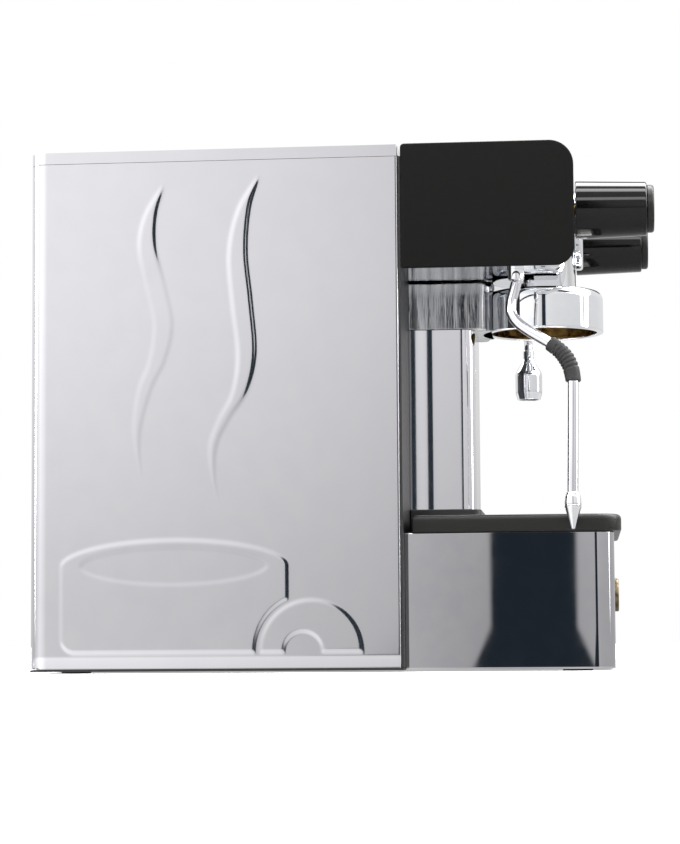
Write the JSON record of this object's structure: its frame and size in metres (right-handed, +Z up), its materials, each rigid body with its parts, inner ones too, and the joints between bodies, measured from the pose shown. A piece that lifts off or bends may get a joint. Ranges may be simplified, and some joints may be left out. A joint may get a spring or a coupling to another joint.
{
  "type": "espresso machine",
  "caption": "Counter-top espresso machine with boxy steel casing, black-cheeked head, two valve knobs, brew group, steam wand, hot-water tap and lift-out drip tray.",
  "frame": {"origin": "on the counter, under the middle of the machine's bounding box", "axes": "+Z up, the front with the knobs faces -Y, the steam wand is on the -X side and the hot-water tap on the +X side"},
  "size_m": [0.25, 0.4612, 0.3858],
  "materials": {
    "steel": "mirror-polished stainless sheet",
    "chrome": "bright chrome plate",
    "black steel": "black painted steel",
    "cheek": "fine matt black coating",
    "gloss black": "gloss black moulded plastic",
    "satin black": "satin black moulded plastic",
    "rubber": "dark grey moulded rubber",
    "brass": "machined brass",
    "copper": "copper tube and sheet",
    "bronze": "dull bronze disc",
    "clear plastic": "clear moulded plastic",
    "glass": "flat gauge glass",
    "dial": "white printed dial",
    "needle": "black needle",
    "green lens": "green lamp lens",
    "hose": "silicone hose"
  },
  "bodies": {
    "machine": {"front_bulkhead": "steel", "side_panel_left": "steel", "side_panel_right": "steel", "rear_panel": "steel", "top_cover": "steel", "column": "steel", "base_housing": "steel", "shower_screen": "steel", "head_shell": "chrome", "gauge_bezel": "chrome", "group_neck": "chrome", "group_bell": "chrome", "wand_nut": "chrome", "tap_nut": "chrome", "base_pan": "black steel", "pedestal": "black steel", "switch_frame": "black steel", "tank_shelf": "black steel", "pump": "black steel", "brew_solenoid": "black steel", "power_inlet": "black steel", "cheek_left": "cheek", "cheek_right": "cheek", "foot_rear_left": "rubber", "foot_rear_right": "rubber", "foot_front_left": "rubber", "foot_front_right": "rubber", "group_gasket": "rubber", "valve_steam": "brass", "valve_water": "brass", "heating_element": "brass", "boiler": "copper", "pipe_group": "copper", "pipe_steam": "copper", "pipe_water": "copper", "pipe_feed": "copper", "front_badge": "bronze", "gauge_glass": "glass", "gauge_can": "dial", "ready_lamp": "green lens", "pipe_tank": "hose"},
    "steam_knob": {"knob_steam": "gloss black", "knob_cap_steam": "satin black", "stem_steam": "brass"},
    "water_knob": {"knob_water": "gloss black", "knob_cap_water": "satin black", "stem_water": "brass"},
    "wand_ball": {"wand_ball": "chrome"},
    "wand": {"wand_tube": "steel", "wand_grip": "rubber", "wand_tip": "chrome"},
    "tap": {"tap_tube": "steel", "tap_nozzle": "chrome"},
    "tray": {"drip_tray": "satin black"},
    "grid": {"drip_grid": "steel"},
    "rocker": {"power_rocker": "gloss black"},
    "button": {"brew_button": "gloss black"},
    "needle": {"gauge_needle": "needle"},
    "tank": {"water_tank": "clear plastic"},
    "lid": {"tank_lid": "steel"}
  },
  "joints": [
    {"name": "steam_knob_turn", "type": "hinge", "parent": "machine", "child": "steam_knob", "pos_m": [-0.092, -0.2, 0.3385], "axis": [0, -1, 0], "range_deg": [0, 540]},
    {"name": "water_knob_turn", "type": "hinge", "parent": "machine", "child": "water_knob", "pos_m": [0.092, -0.2, 0.3385], "axis": [0, -1, 0], "range_deg": [0, 540]},
    {"name": "wand_swing", "type": "hinge", "parent": "machine", "child": "wand_ball", "pos_m": [-0.1, -0.129, 0.2884], "axis": [0, 0, 1], "range_deg": [-120, 0]},
    {"name": "wand_tilt", "type": "hinge", "parent": "wand_ball", "child": "wand", "pos_m": [-0.1, -0.129, 0.2884], "axis": [0, 1, 0], "range_deg": [0, 18]},
    {"name": "tap_swing", "type": "hinge", "parent": "machine", "child": "tap", "pos_m": [0.086, -0.133, 0.2884], "axis": [0, 0, 1], "range_deg": [-60, 60]},
    {"name": "tray_lift", "type": "slide", "parent": "machine", "child": "tray", "axis": [0, 0, 1], "range_m": [0, 0.045]},
    {"name": "grid_lift", "type": "slide", "parent": "tray", "child": "grid", "axis": [0, 0, 1], "range_m": [0, 0.03]},
    {"name": "power_rocker_tilt", "type": "hinge", "parent": "machine", "child": "rocker", "pos_m": [-0.051, -0.1676, 0.3385], "axis": [-1, 0, 0], "range_deg": [0, 14]},
    {"name": "brew_button_press", "type": "slide", "parent": "machine", "child": "button", "axis": [0, 1, 0], "range_m": [0, 0.0025], "stiffness_N_per_m": 400},
    {"name": "gauge_needle_turn", "type": "hinge", "parent": "machine", "child": "needle", "pos_m": [0, -0.175, 0.3385], "axis": [0, 1, 0], "range_deg": [0, 270], "stiffness_Nm_per_rad": 0.0005},
    {"name": "tank_lift", "type": "slide", "parent": "machine", "child": "tank", "axis": [0, 0, 1], "range_m": [0, 0.3]},
    {"name": "lid_lift", "type": "slide", "parent": "tank", "child": "lid", "axis": [0, 0, 1], "range_m": [0, 0.06]}
  ]
}
